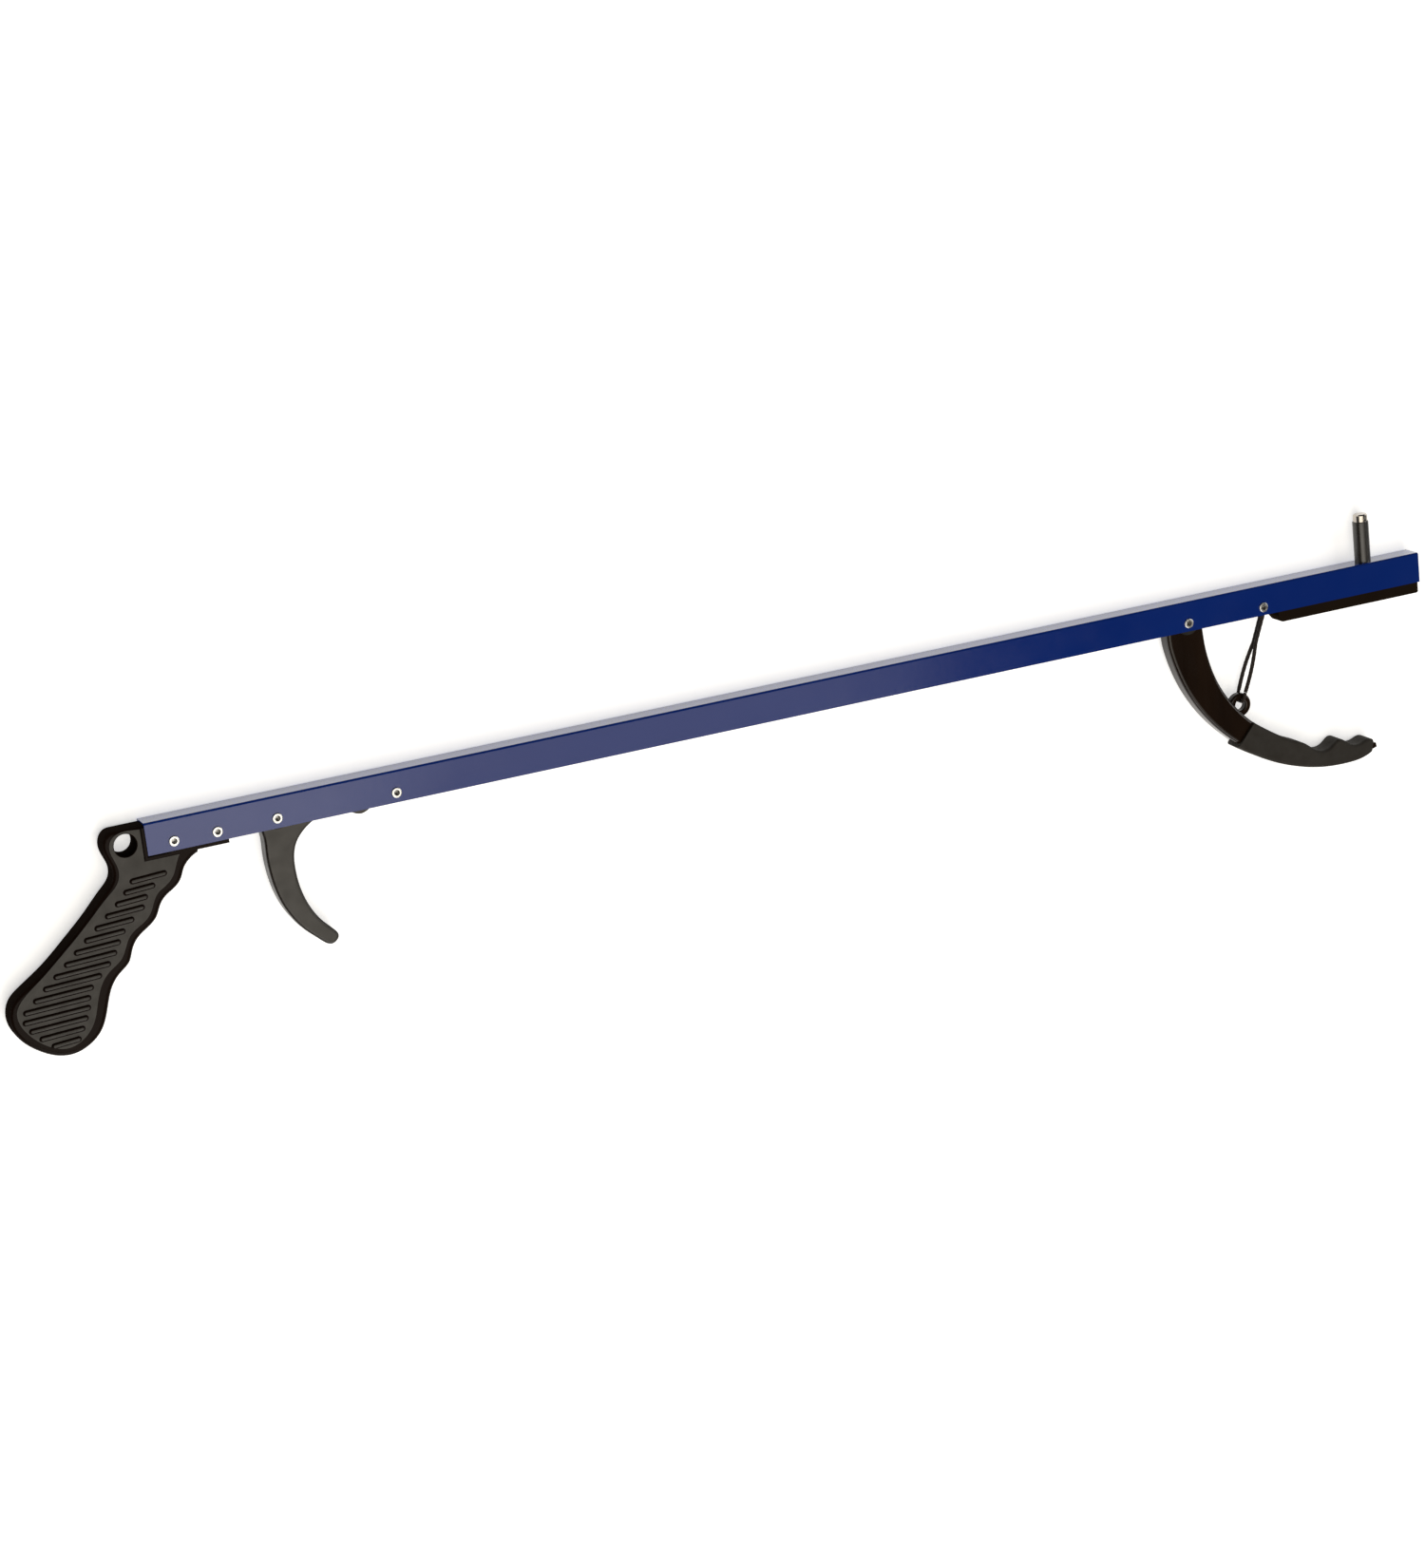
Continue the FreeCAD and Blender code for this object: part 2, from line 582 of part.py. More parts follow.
def anvil_pad():
    """The rubber block under the tube's front end, with a neck that grips between the tube's walls."""
    seat = UNDERSIDE - SEAT_FIT
    outline = [
        (PAD_START, seat), (PAD_START, seat - PAD_HEEL), (PAD_START + PAD_SLOPE, PAD_BOTTOM),
        (PAD_END - PAD_CHAMFER, PAD_BOTTOM), (PAD_END, PAD_BOTTOM + PAD_CHAMFER), (PAD_END, seat),
        (PAD_START, seat),
    ]
    body = slab([line(a, b) for a, b in zip(outline, outline[1:])], PAD_HALF)
    low = [e for e in rim_edges(body, PAD_HALF) if e.BoundBox.YMax < PAD_BOTTOM + 0.1]
    body = body.makeFillet(PAD_ROUND, low)
    neck = block(PAD_START + 4, PAD_END - 1, seat - 0.1, PAD_NECK_TOP, -TONGUE_HALF, TONGUE_HALF)
    return body.fuse(neck)


def upright(radius, low, high):
    """A round bar along the magnet post's axis, from y = low to y = high."""
    return Part.makeCylinder(radius, high - low, FreeCAD.Vector(POST_X, low, 0), ACROSS)


def end_edges(body, y):
    """The edges of an upright bar's end at y."""
    return [e for e in body.Edges if abs(e.BoundBox.YMin - y) < 0.01 and abs(e.BoundBox.YMax - y) < 0.01]


def magnet_post():
    body = upright(POST_RADIUS, SEAT_FIT, POST_TOP)
    body = body.makeFillet(POST_ROUND, end_edges(body, POST_TOP))
    body = body.cut(upright(MAGNET_RADIUS, MAGNET_BOTTOM, POST_TOP + 1))
    return body.cut(upright(SCREW_RADIUS + RUNNING_FIT, -1, SCREW_TIP + 1))


def tip_magnet():
    body = upright(MAGNET_RADIUS - RUNNING_FIT, MAGNET_BOTTOM + SEAT_FIT, MAGNET_TOP)
    return body.makeChamfer(MAGNET_CHAMFER, end_edges(body, MAGNET_TOP))


def magnet_screw():
    """The cross-head screw inside the tube that holds the post."""
    seat = -TUBE_WALL - SEAT_FIT
    bottom = seat - SCREW_HEAD_HEIGHT
    head = upright(SCREW_HEAD_RADIUS, bottom, seat)
    head = head.makeFillet(SCREW_HEAD_HEIGHT / 2, end_edges(head, bottom))
    body = head.fuse(upright(SCREW_RADIUS, seat - 0.1, SCREW_TIP))
    slot_top = bottom + SCREW_SLOT_DEPTH
    for reach_x, reach_z in ((SCREW_SLOT_REACH, SCREW_SLOT_HALF), (SCREW_SLOT_HALF, SCREW_SLOT_REACH)):
        slot = block(POST_X - reach_x, POST_X + reach_x, bottom - 0.1, slot_top, -reach_z, reach_z)
        body = body.cut(slot)
    return body


def cord_run():
    """Both strands inside the tube, from the tail's end over the jaw's hub to the front roller."""
    strands = []
    for side in (-1, 1):
        z = side * STRAND_OFFSET
        start = on_cord_line(TRIGGER_EYE[0] + TAIL_LENGTH + 0.5)
        edges = [
            Part.makeLine(vec(start, z), vec(HUB_IN, z)),
            arc_edge(JAW_PIVOT, HUB_BEND, REAR_NORMAL, FRONT_NORMAL, z),
            Part.makeLine(vec(HUB_OUT, z), vec(FRONT_TOUCH, z)),
            arc_edge(FRONT_ROLLER, CORD_BEND, FRONT_NORMAL, SHUT_ANGLE, z),
        ]
        strands.append(wire_tube(Part.Wire(edges), CORD_RADIUS))
    return Part.makeCompound(strands)


def jaw_loop_point(reach, side):
    """A point beside the jaw's eye, this far from its centre along the cord's pull."""
    return vec(JAW_EYE, side * EYE_OFFSET) + PULL * reach


def cord_front_strands():
    """The two strands that hang from the front roller to the jaw's eye."""
    strands = []
    for side in (-1, 1):
        z = side * STRAND_OFFSET
        arc = arc_edge(FRONT_ROLLER, CORD_BEND, SHUT_ANGLE - 0.5, LEAVE_ANGLE, z)
        drop = Part.makeLine(vec(LEAVE_POINT, z), jaw_loop_point(JAW_LOOP_REACH + 0.2, side))
        strands.append(wire_tube(Part.Wire([arc, drop]), CORD_RADIUS))
    return Part.makeCompound(strands)


def cord_jaw_loop():
    """The bight of the cord through the jaw's eye."""
    near, far = [jaw_loop_point(JAW_LOOP_REACH, side) for side in (1, -1)]
    turn_in, turn_out = [jaw_loop_point(JAW_LOOP_DEPTH, side) for side in (1, -1)]
    return wire_tube(Part.Wire(rounded_path([near, turn_in, turn_out, far], JAW_LOOP_BEND)), CORD_RADIUS)


def cord_trigger_loop():
    """The bight of the cord through the trigger's eye."""
    x, y = TRIGGER_EYE
    points = [FreeCAD.Vector(x + LOOP_REACH, y, EYE_OFFSET), FreeCAD.Vector(x - LOOP_BACK, y, EYE_OFFSET),
              FreeCAD.Vector(x - LOOP_BACK, y, -EYE_OFFSET), FreeCAD.Vector(x + LOOP_REACH, y, -EYE_OFFSET)]
    return wire_tube(Part.Wire(rounded_path(points, LOOP_BEND)), CORD_RADIUS)


def cord_knot():
    """The stopper knot that closes the cord's loop, just ahead of the trigger's eye."""
    x, y = TRIGGER_EYE
    start = FreeCAD.Vector(x + KNOT_START, y, EYE_OFFSET)
    body = Part.makeCylinder(KNOT_RADIUS, KNOT_LENGTH, start, ALONG)
    body = body.makeFillet(KNOT_ROUND, [e for e in body.Edges if e.BoundBox.XLength < 1e-3])
    bore = Part.makeCylinder(CORD_RADIUS + RUNNING_FIT, KNOT_LENGTH + 2, start - ALONG, ALONG)
    return body.cut(bore)


def cord_tail():
    """Both strands from the trigger's eye towards the tube's run, long enough for a full squeeze."""
    strands = []
    for side in (-1, 1):
        start = FreeCAD.Vector(TRIGGER_EYE[0] + LOOP_REACH + 0.3, TRIGGER_EYE[1], side * EYE_OFFSET)
        end = vec(on_cord_line(TRIGGER_EYE[0] + TAIL_LENGTH), side * STRAND_OFFSET)
        strands.append(Part.makeCylinder(CORD_RADIUS, (end - start).Length, start, end - start))
    return Part.makeCompound(strands)


def build():
    """Every piece of the tool by its node's name."""
    arm = jaw_arm()
    return {
        "channel": channel(),
        "handle_grip": handle_grip(),
        "handle_rivets": Part.makeCompound([rivet(c) for c in GRIP_RIVETS]),
        "trigger": trigger(),
        "trigger_pivot_rivet": rivet(TRIGGER_PIVOT),
        "trigger_pivot_washers": washers(TRIGGER_PIVOT, WASHER_RADIUS),
        "rear_cord_roller": roller(REAR_ROLLER),
        "rear_roller_rivet": rivet(REAR_ROLLER),
        "jaw_arm": arm,
        "jaw_sleeve": jaw_sleeve(arm),
        "jaw_pivot_rivet": rivet(JAW_PIVOT),
        "jaw_pivot_washers": washers(JAW_PIVOT, HUB_RADIUS),
        "jaw_return_spring": jaw_return_spring(),
        "front_cord_roller": roller(FRONT_ROLLER),
        "front_roller_rivet": rivet(FRONT_ROLLER),
        "anvil_pad": anvil_pad(),
        "magnet_post": magnet_post(),
        "tip_magnet": tip_magnet(),
        "magnet_screw": magnet_screw(),
        "cord_trigger_loop": cord_trigger_loop(),
        "cord_knot": cord_knot(),
        "cord_tail": cord_tail(),
        "cord_run": cord_run(),
        "cord_front_strands": cord_front_strands(),
        "cord_jaw_loop": cord_jaw_loop(),
    }


def main():
    """Writes each piece to its own file, with the origin at the bottom centre of the whole tool."""
    os.makedirs("parts", exist_ok=True)
    nodes = build()
    whole = Part.makeCompound(list(nodes.values())).optimalBoundingBox(False)
    shift = FreeCAD.Vector(-whole.Center.x, -whole.Center.y, -whole.ZMin)
    print("shift", shift.x, shift.y, shift.z)
    for name, shape in nodes.items():
        moved = shape.copy()
        moved.translate(shift)
        moved.exportStep("parts/" + name + ".step")
        print(name, len(moved.Solids), round(moved.Volume, 2), moved.isValid())


main()
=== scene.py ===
"""The looks of the reacher grabber: materials, the braided cord, the stage, the lights and the camera."""

import json
import math

import bpy
from mathutils import Matrix, Vector


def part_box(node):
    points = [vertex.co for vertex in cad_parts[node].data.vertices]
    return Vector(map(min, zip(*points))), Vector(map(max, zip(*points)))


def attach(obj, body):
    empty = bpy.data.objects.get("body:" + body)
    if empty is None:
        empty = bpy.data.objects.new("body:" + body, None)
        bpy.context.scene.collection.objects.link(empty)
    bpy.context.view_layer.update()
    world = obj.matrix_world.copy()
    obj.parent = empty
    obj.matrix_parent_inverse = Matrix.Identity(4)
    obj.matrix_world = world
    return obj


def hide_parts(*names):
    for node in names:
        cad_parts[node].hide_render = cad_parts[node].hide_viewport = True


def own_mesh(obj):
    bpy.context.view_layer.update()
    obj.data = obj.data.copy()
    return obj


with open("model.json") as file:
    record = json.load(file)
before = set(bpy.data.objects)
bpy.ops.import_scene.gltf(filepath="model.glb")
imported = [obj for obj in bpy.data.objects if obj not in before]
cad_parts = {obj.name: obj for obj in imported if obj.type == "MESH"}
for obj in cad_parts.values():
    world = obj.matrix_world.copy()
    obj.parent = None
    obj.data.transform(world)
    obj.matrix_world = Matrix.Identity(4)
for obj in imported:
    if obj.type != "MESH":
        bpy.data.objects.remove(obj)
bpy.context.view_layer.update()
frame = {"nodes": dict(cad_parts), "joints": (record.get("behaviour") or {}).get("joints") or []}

# Lengths are in metres and angles in degrees.
MM = 0.001
TUBE_LOW, TUBE_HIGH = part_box("channel")
# The tube's rear top corner on the side with the rolled rivet ends.
CORNER = Vector((TUBE_LOW.x, TUBE_HIGH.y, TUBE_HIGH.z))
MIDDLE_Z = (TUBE_LOW.z + TUBE_HIGH.z) / 2
PIVOTS = {joint["name"]: Vector(joint["pos_m"]) for joint in frame["joints"]}
RIVET_JOINTS = {
    "trigger_pivot_rivet": "trigger_squeeze",
    "jaw_pivot_rivet": "jaw_close",
    "rear_roller_rivet": "rear_roller_spin",
    "front_roller_rivet": "front_roller_spin",
}

# Colours as linear red, green and blue. The mouldings have a deeper and a lighter tone.
BLUE = ((0.002, 0.018, 0.155), (0.003, 0.024, 0.185))
GRIP_PANEL = ((0.018, 0.015, 0.011), (0.026, 0.022, 0.017))
# The grip's glossy black border; the same colour on the ribs' flanks is painted shade.
GRIP_RIM_AND_RIB_SHADE = ((0.006, 0.003, 0.002), (0.011, 0.006, 0.004))
# The grip's side walls: its own black, with reflection switched off as painted shade.
GRIP_SIDE_SHADE = ((0.007, 0.005, 0.004), (0.014, 0.010, 0.008))
LEVER_FACE = ((0.020, 0.017, 0.013), (0.028, 0.024, 0.019))
# A darker copy of the trigger's plastic for its rounded edges: painted shade.
LEVER_EDGE_SHADE = ((0.008, 0.005, 0.003), (0.013, 0.009, 0.006))
# The jaw's black, and lighter brown streaks that are painted reflection.
JAW_BLACK_AND_REFLECTION_STREAKS = ((0.003, 0.0015, 0.001), (0.018, 0.009, 0.0045))
SLEEVE_RUBBER = ((0.018, 0.015, 0.011), (0.026, 0.022, 0.018))
PAD_RUBBER = ((0.010, 0.006, 0.004), (0.016, 0.011, 0.007))
POST_BLACK = ((0.012, 0.010, 0.008), (0.020, 0.017, 0.014))
BLACK_NYLON = ((0.008, 0.007, 0.006), (0.014, 0.012, 0.01))
WHITE_NYLON = ((0.62, 0.60, 0.54), (0.7, 0.68, 0.62))
CORD_BROWN = ((0.008, 0.005, 0.004), (0.03, 0.02, 0.015))
RIVET_METAL = (0.72, 0.72, 0.70)
# A darker copy of the rivet metal for the bore walls of the rolled ends: painted shade.
HOLLOW_SHADE_METAL = (0.30, 0.29, 0.28)
WIRE_METAL = (0.5, 0.5, 0.51)
ZINC_METAL = (0.66, 0.66, 0.64)
MAGNET_METAL = (0.50, 0.46, 0.41)

# The part of a noise's range that is spread over a material's gloss.
NOISE_LOW = 0.3
NOISE_HIGH = 0.7
METAL_MARKS = 900.0

# How squarely a face has to look along an axis to count as flat, as a rib's top, and so on.
FLAT_SLOPE = 0.99
LEVER_FLAT_SLOPE = 0.8
RIB_TOP_SLOPE = 0.92
WALL_SLOPE = 0.6
BORE_FLOOR_SLOPE = 0.95
# Just under the height of the grip's panel over the middle plane.
PANEL_HEIGHT = 5.9 * MM
# The bead round the tube's end reaches this far behind it and this far below the tube's top.
BEAD_REACH = 2.0 * MM
BEAD_DROP = 18.2 * MM
HOLLOW_RADIUS = 1.65 * MM

# The braid: yarns each way, the length of a full turn, and the depth between the yarns.
YARNS = 4
LAY = 3.2 * MM
YARN_RELIEF = 0.16
YARN_CROWN = 0.6
YARN_LIFT = 0.4
CORD_RADIUS = 0.9 * MM
TAIL_RADIUS = 0.86 * MM
DROP_RADIUS = 1.15 * MM
FINE_STEP = 0.28 * MM
FINE_SIDES = 20
HIDDEN_STEP = 0.5 * MM
HIDDEN_SIDES = 12

# The cord's path: its bends on the spools and the jaw's hub, and the room between its two strands.
CORD_BEND = 4.2 * MM
HUB_BEND = 7.6 * MM
BEND_STEPS = 16
STRAND_OFFSET = 1.1 * MM
EYE_OFFSET = 3.4 * MM
LOOP_REACH = 7.2 * MM
REAR_WRAP = 4.0
REAR_WRAP_STEPS = 2
SHUT_ANGLE = 11.0
JOIN_OVERLAP = 0.5
STRAND_BOW = 0.8 * MM
DROP_STEPS = 24
SPLIT_SHARE = 0.42
# The middle of the hole in the jaw's ear.
JAW_EYE = Vector((CORNER.x + 593.5 * MM, CORNER.y - 62.7 * MM, MIDDLE_Z))

FLOOR_SIZE = 40.0
FLOOR_CELLS = 80
FLOOR_GLOW = 0.55
PAPER = (0.93, 0.93, 0.93)
PAPER_TONES = ((0.925, 0.925, 0.925), (0.94, 0.94, 0.94))

WARM = (1.0, 0.94, 0.84)
WHITE = (1.0, 0.99, 0.97)
WORLD_STRENGTH = 0.03
# A bright box over the rear half, a dimmer one beside it, and fills that the tube's side doesn't mirror:
# name, place, target, width, height, radiance and colour.
SOFTBOXES = (
    ("key", (-0.50, -0.55, 1.8), (-0.50, -0.55, 0.0), 1.7, 1.7, 2.45, WARM),
    ("key_side", (0.65, -0.55, 1.8), (0.65, -0.55, 0.0), 0.6, 1.7, 1.2, WARM),
    ("fill_front", (0.0, -3.0, 1.8), (0.2, 0.0, 0.0), 3.0, 1.6, 3.0, WHITE),
    ("fill_right", (3.2, 0.6, 2.0), (0.3, 0.0, 0.0), 2.0, 1.8, 3.0, WHITE),
)

# The camera, 1.8 m from the tube's corner: its place, where it looks, and its right-hand side.
CAMERA_OFFSET = (-0.39619, 0.46494, 1.69429)
CAMERA_AHEAD = (0.36055, -0.26687, -0.89375)
CAMERA_RIGHT = (0.91074, -0.10616, 0.39910)
SENSOR_WIDTH_MM = 36.0
FOCAL_LENGTH_MM = 87.5
CLIP_END = 50.0


# ---------------------------------------------------------------- shader helpers

def new_material(name, colour, roughness, metallic=0.0, specular=0.5, coat=0.0):
    """A principled material with these values on its sockets."""
    made = bpy.data.materials.new(name)
    made.use_nodes = True
    values = {
        "Base Color": (*colour, 1.0),
        "Roughness": roughness,
        "Metallic": metallic,
        "Specular IOR Level": specular,
        "Coat Weight": coat,
        "Coat Roughness": 0.1,
    }
    for socket, value in values.items():
        shader_input(made, socket).default_value = value
    return made


def shader_input(made, name):
    return made.node_tree.nodes["Principled BSDF"].inputs[name]


def link(made, source, target):
    made.node_tree.links.new(source, target)


def add_node(made, kind, **inputs):
    node = made.node_tree.nodes.new(kind)
    for key, value in inputs.items():
        node.inputs[key.replace("_", " ")].default_value = value
    return node


def coordinates(made, stretch):
    """The object's own coordinates in metres, stretched along the axes."""
    source = add_node(made, "ShaderNodeTexCoord")
    mapping = add_node(made, "ShaderNodeMapping", Scale=stretch)
    link(made, source.outputs["Object"], mapping.inputs["Vector"])
    return mapping.outputs["Vector"]


def noise(made, scale, detail, stretch=(1.0, 1.0, 1.0)):
    node = add_node(made, "ShaderNodeTexNoise", Scale=scale, Detail=detail)
    link(made, coordinates(made, stretch), node.inputs["Vector"])
    return node.outputs["Fac"]


def remap(made, source, low, high, to_low=0.0, to_high=1.0):
    node = add_node(made, "ShaderNodeMapRange", From_Min=low, From_Max=high, To_Min=to_low, To_Max=to_high)
    link(made, source, node.inputs["Value"])
    return node.outputs["Result"]


def mix_colour(made, factor, first, second):
    """A mix of two colours."""
    node = made.node_tree.nodes.new("ShaderNodeMix")
    node.data_type = "RGBA"
    link(made, factor, node.inputs["Factor"])
    for socket_name, colour in (("A", first), ("B", second)):
        socket = [s for s in node.inputs if s.name == socket_name and s.type == "RGBA"][0]
        socket.default_value = (*colour, 1.0)
    return [s for s in node.outputs if s.type == "RGBA"][0]


def bump(made, height, strength, distance, under=None):
    """A bump from a height, on top of another one if there is one under it."""
    node = add_node(made, "ShaderNodeBump", Strength=strength, Distance=distance)
    link(made, height, node.inputs["Height"])
    if under is not None:
        link(made, under, node.inputs["Normal"])
    return node.outputs["Normal"]


def cloud_colour(made, factor, tones):
    link(made, mix_colour(made, factor, *tones), shader_input(made, "Base Color"))


def uneven_gloss(made, factor, low, high):
    link(made, remap(made, factor, NOISE_LOW, NOISE_HIGH, low, high), shader_input(made, "Roughness"))


def grain(made, scale, detail, depth, distance, under=None):
    link(made, bump(made, noise(made, scale, detail), depth, distance, under), shader_input(made, "Normal"))


# ---------------------------------------------------------------- materials

def paint(name, specular, coat):
    """Glossy blue enamel with orange peel and a slightly uneven gloss."""
    made = new_material(name, BLUE[0], 0.14, specular=specular, coat=coat)
    cloud_colour(made, noise(made, 14.0, 4.0, (1, 3, 3)), BLUE)
    uneven_gloss(made, noise(made, 60.0, 4.0), 0.11, 0.18)
    peel = bump(made, noise(made, 420.0, 2.0), 0.06, 0.4 * MM)
    grain(made, 1500.0, 2.0, 0.03, 0.2 * MM, peel)
    return made


def moulded(name, tones, roughness, specular, marks=1500.0, depth=0.15, streak=(1.0, 1.0, 1.0)):
    """A moulded plastic or rubber with cloudy colour, uneven gloss and a fine grain."""
    made = new_material(name, tones[0], roughness, specular=specular)
    cloud_colour(made, noise(made, 45.0, 4.0, streak), tones)
    uneven_gloss(made, noise(made, 160.0, 4.0, streak), roughness * 0.85, min(1.0, roughness * 1.15))
    grain(made, marks, 3.0, depth, 0.2 * MM)
    return made


def metal(name, colour, roughness):
    """Plated or drawn metal: uneven gloss, fine marks and a little tarnish."""
    made = new_material(name, colour, roughness, metallic=1.0)
    tarnish = tuple(c * 0.7 for c in colour)
    cloud_colour(made, remap(made, noise(made, 300.0, 5.0), 0.5, 0.8), (colour, tarnish))
    uneven_gloss(made, noise(made, METAL_MARKS, 4.0), roughness * 0.7, roughness * 1.4)
    grain(made, METAL_MARKS * 1.6, 3.0, 0.08, 0.1 * MM)
    return made


def cord_cloth():
    """Waxed dark braid: each yarn is finely ribbed along its length."""
    made = new_material("waxed_braid", CORD_BROWN[0], 0.6, specular=0.25)
    cloud_colour(made, noise(made, 900.0, 3.0), CORD_BROWN)
    grain(made, 4200.0, 2.0, 0.3, 0.1 * MM)
    return made


# ---------------------------------------------------------------- which face gets which material

def tube_side(face):
    """A rule for the tube: 1 on its flat closed top, a glossier copy of the paint as painted highlight, 2 on
    rounded and cut edges, a duller copy as painted shade, else 0.
    """
    if face.normal.y > FLAT_SLOPE:
        return 1
    return 0 if abs(face.normal.z) > FLAT_SLOPE else 2


def grip_part(face):
    """A rule for the grip: 0 on its raised panel and rib tops, 2 on its side walls, whose copy has no
    reflection as painted shade, else 1, the dark border material, which on the ribs' flanks is painted shade.
    """
    slope = abs(face.normal.z)
    height = abs(face.center.z - MIDDLE_Z)
    if height < PANEL_HEIGHT:
        return 2 if slope < WALL_SLOPE else 1
    beside_tube = face.center.x > CORNER.x - BEAD_REACH
    along_tube = face.center.y > CORNER.y - BEAD_DROP
    # Rib flanks get the dark border material: painted shade beside each rib's lighter top.
    return 1 if slope < RIB_TOP_SLOPE or (beside_tube and along_tube) else 0


def lever_part(face):
    """A rule for the trigger: 0 on its flat sides, else 1, where a darker copy of its plastic is painted
    shade on the rounded edges.
    """
    return 0 if abs(face.normal.z) > LEVER_FLAT_SLOPE else 1


def rivet_part(centre):
    """A rule for a rivet: 1 on the bore wall of its rolled end, whose darker metal is painted shade, else 0.
    """
    def rule(face):
        away = face.center - centre
        inside = math.hypot(away.x, away.y) < HOLLOW_RADIUS and face.center.z > centre.z
        return 1 if inside and abs(face.normal.z) < BORE_FLOOR_SLOPE else 0
    return rule


def handle_rivet_part():
    """The same rule for whichever of the grip's two rivets the face is on."""
    low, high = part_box("handle_rivets")
    y = (low.y + high.y) / 2
    reach = (high.y - low.y) / 2
    middle = (low.x + high.x) / 2
    rear = rivet_part(Vector((low.x + reach, y, MIDDLE_Z)))
    front = rivet_part(Vector((high.x - reach, y, MIDDLE_Z)))
    return lambda face: rear(face) if face.center.x < middle else front(face)


def dress(nodes, *made, pick=None):
    """Gives nodes their material, or several with pick(face) choosing the slot of each face."""
    for name in nodes:
        mesh = frame["nodes"][name].data
        mesh.materials.clear()
        for material in made:
            mesh.materials.append(material)
        if pick:
            for face in mesh.polygons:
                face.material_index = pick(face)


# ---------------------------------------------------------------- the parts

def dress_tube():
    # The top's extra coat is a painted highlight; the edges' low shine and missing coat are painted shade.
    dress(["channel"], paint("blue_enamel", 0.5, 0.15), paint("blue_enamel_top_highlight", 0.5, 0.75),
          paint("blue_enamel_edge_shade", 0.15, 0.0), pick=tube_side)


def dress_grip():
    panel = moulded("grip_panel", GRIP_PANEL, 0.5, 0.42, 1700.0, 0.3)
    # The dark border material, which also paints shade on the ribs' flanks.
    rim_and_shade = moulded("grip_rim_and_rib_shade", GRIP_RIM_AND_RIB_SHADE, 0.25, 0.05, 600.0, 0.05)
    # Side walls: no specular, so they stay dark as painted shade.
    side = moulded("grip_side_shade", GRIP_SIDE_SHADE, 0.5, 0.0, 600.0, 0.05)
    dress(["handle_grip"], panel, rim_and_shade, side, pick=grip_part)


def dress_trigger():
    face = moulded("lever_moulding", LEVER_FACE, 0.45, 0.5, 1500.0, 0.1)
    # The edges' darker copy is painted shade.
    rim_and_shade = moulded("lever_edge_shade", LEVER_EDGE_SHADE, 0.3, 0.2, 600.0, 0.05)
    dress(["trigger"], face, rim_and_shade, pick=lever_part)


def dress_jaw():
    # The jaw arm's lighter brown streaks, stretched along the arm, are a painted reflection.
    dress(["jaw_arm"], moulded("polished_moulding_painted_reflection", JAW_BLACK_AND_REFLECTION_STREAKS, 0.16, 0.3, 300.0, 0.1, (1.6, 0.35, 1.0)))
    dress(["jaw_sleeve"], moulded("sleeve_rubber", SLEEVE_RUBBER, 0.75, 0.3, 1900.0, 0.3))


def dress_tip():
    dress(["anvil_pad"], moulded("pad_rubber", PAD_RUBBER, 0.65, 0.0, 1500.0, 0.3))
    dress(["magnet_post"], moulded("post_moulding", POST_BLACK, 0.3, 0.7, 700.0, 0.05))
    dress(["tip_magnet"], metal("nickel_plate", MAGNET_METAL, 0.2))
    dress(["magnet_screw"], metal("zinc_plate", ZINC_METAL, 0.3))


def dress_nylon():
    dress(["trigger_pivot_washers", "jaw_pivot_washers"], moulded("black_nylon", BLACK_NYLON, 0.4, 0.3))
    dress(["rear_cord_roller", "front_cord_roller"],
          moulded("natural_nylon", WHITE_NYLON, 0.38, 0.5, 800.0, 0.1))


def dress_rivets():
    plated = metal("plated_rivet", RIVET_METAL, 0.28)
    # The bore walls' darker metal is painted shade.
    hollow_shade = metal("rivet_hollow_shade", HOLLOW_SHADE_METAL, 0.45)
    for node, joint in RIVET_JOINTS.items():
        dress([node], plated, hollow_shade, pick=rivet_part(PIVOTS[joint]))
    dress(["handle_rivets"], plated, hollow_shade, pick=handle_rivet_part())


def dress_spring():
    dress(["jaw_return_spring"], metal("drawn_wire", WIRE_METAL, 0.28))


# ---------------------------------------------------------------- the braid

def along_path(points, step):
    """Evenly spaced points on a polyline."""
    runs = [(b - a).length for a, b in zip(points, points[1:])]
    total = sum(runs)
    count = max(2, int(round(total / step)))
    out = []
    for i in range(count + 1):
        left = total * i / count
        k = 0
        while k < len(runs) - 1 and left > runs[k]:
            left -= runs[k]
            k += 1
        share = min(1.0, left / runs[k])
        out.append(points[k].lerp(points[k + 1], share))
    return out


def braid_radius(angle, distance, radius):
    """The height of a diamond braid: two families of yarns wind opposite ways and pass over and under."""
    turn = 2 * math.pi * distance / LAY
    right = YARNS * angle + turn
    left = YARNS * angle - turn
    over = YARN_LIFT * math.sin(right / 2) * math.sin(left / 2)
    ridge = max(math.cos(right) * (YARN_CROWN + over), math.cos(left) * (YARN_CROWN - over))
    return radius * (1.0 - YARN_RELIEF + YARN_RELIEF * ridge)


def braid_rings(path, radius, step, sides):
    """The vertices of one braided strand, ring after ring."""
    points = along_path(path, step)
    side = Vector((0, 0, 1))
    vertices = []
    for i, point in enumerate(points):
        ahead = points[min(i + 1, len(points) - 1)] - points[max(i - 1, 0)]
        ahead.normalize()
        side = (side - ahead * side.dot(ahead)).normalized()
        other = ahead.cross(side)
        for j in range(sides):
            angle = 2 * math.pi * j / sides
            reach = braid_radius(angle, i * step, radius)
            vertices.append(point + side * (reach * math.cos(angle)) + other * (reach * math.sin(angle)))
    return vertices


